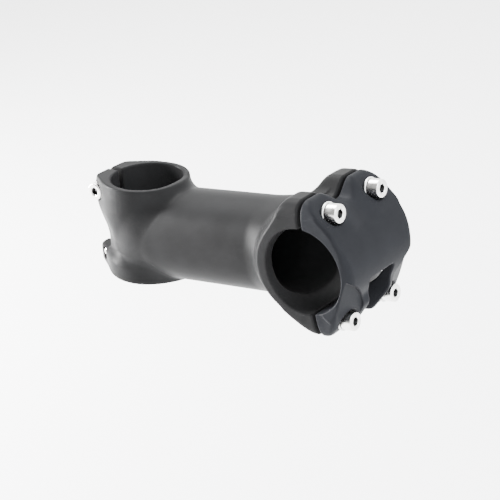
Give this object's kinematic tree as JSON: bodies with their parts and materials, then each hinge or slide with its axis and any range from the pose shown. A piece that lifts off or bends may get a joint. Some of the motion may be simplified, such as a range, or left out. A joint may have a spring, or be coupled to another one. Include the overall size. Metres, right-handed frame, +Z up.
{
  "type": "bicycle handlebar stem",
  "caption": "Threadless handlebar stem: hollow arm from a split steerer clamp to a bar clamp with a removable faceplate, cap screws and washers.",
  "frame": {"origin": "on the steerer axis, level with the steerer clamp's lower face", "axes": "+X forward from the steerer to the handlebar, +Y to the rider's left, +Z up along the steerer"},
  "size_m": [0.1337, 0.042, 0.053],
  "materials": {
    "body_black": "black anodised satin",
    "faceplate_black": "black anodised satin",
    "screw_steel": "bright zinc-plated steel",
    "washer_steel": "bright zinc-plated steel"
  },
  "bodies": {
    "stem": {"stem_body": "body_black"},
    "faceplate": {"faceplate": "faceplate_black"},
    "washer_upper_right": {"face_washer_upper_right": "washer_steel"},
    "screw_upper_right": {"face_screw_upper_right": "screw_steel"},
    "washer_upper_left": {"face_washer_upper_left": "washer_steel"},
    "screw_upper_left": {"face_screw_upper_left": "screw_steel"},
    "washer_lower_right": {"face_washer_lower_right": "washer_steel"},
    "screw_lower_right": {"face_screw_lower_right": "screw_steel"},
    "washer_lower_left": {"face_washer_lower_left": "washer_steel"},
    "screw_lower_left": {"face_screw_lower_left": "screw_steel"},
    "pinch_screw_upper": {"pinch_screw_upper": "screw_steel"},
    "pinch_screw_lower": {"pinch_screw_lower": "screw_steel"}
  },
  "joints": [
    {"name": "faceplate_lift_off", "type": "slide", "parent": "stem", "child": "faceplate", "axis": [0.9925, 0, 0.1219], "range_m": [0, 0.03]},
    {"name": "screw_upper_right_lift", "type": "slide", "parent": "faceplate", "child": "washer_upper_right", "axis": [0.9925, 0, 0.1219], "range_m": [0, 0.007]},
    {"name": "screw_upper_right_turn", "type": "hinge", "parent": "washer_upper_right", "child": "screw_upper_right", "pos_m": [0.09642, -0.013, 0.04859], "axis": [0.9925, 0, 0.1219], "range_deg": [0, 3600]},
    {"name": "screw_upper_left_lift", "type": "slide", "parent": "faceplate", "child": "washer_upper_left", "axis": [0.9925, 0, 0.1219], "range_m": [0, 0.007]},
    {"name": "screw_upper_left_turn", "type": "hinge", "parent": "washer_upper_left", "child": "screw_upper_left", "pos_m": [0.09642, 0.013, 0.04859], "axis": [0.9925, 0, 0.1219], "range_deg": [0, 3600]},
    {"name": "screw_lower_right_lift", "type": "slide", "parent": "faceplate", "child": "washer_lower_right", "axis": [0.9925, 0, 0.1219], "range_m": [0, 0.007]},
    {"name": "screw_lower_right_turn", "type": "hinge", "parent": "washer_lower_right", "child": "screw_lower_right", "pos_m": [0.10129, -0.013, 0.00889], "axis": [0.9925, 0, 0.1219], "range_deg": [0, 3600]},
    {"name": "screw_lower_left_lift", "type": "slide", "parent": "faceplate", "child": "washer_lower_left", "axis": [0.9925, 0, 0.1219], "range_m": [0, 0.007]},
    {"name": "screw_lower_left_turn", "type": "hinge", "parent": "washer_lower_left", "child": "screw_lower_left", "pos_m": [0.10129, 0.013, 0.00889], "axis": [0.9925, 0, 0.1219], "range_deg": [0, 3600]},
    {"name": "pinch_screw_upper_out", "type": "slide", "parent": "stem", "child": "pinch_screw_upper", "axis": [0, -1, 0], "range_m": [0, 0.0072]},
    {"name": "pinch_screw_lower_out", "type": "slide", "parent": "stem", "child": "pinch_screw_lower", "axis": [0, 1, 0], "range_m": [0, 0.0072]}
  ],
  "couplings": [
    {"joint": "screw_upper_right_turn", "follows": "screw_upper_right_lift", "rad_per_m": 8976},
    {"joint": "screw_upper_left_turn", "follows": "screw_upper_left_lift", "rad_per_m": 8976},
    {"joint": "screw_lower_right_turn", "follows": "screw_lower_right_lift", "rad_per_m": 8976},
    {"joint": "screw_lower_left_turn", "follows": "screw_lower_left_lift", "rad_per_m": 8976}
  ]
}
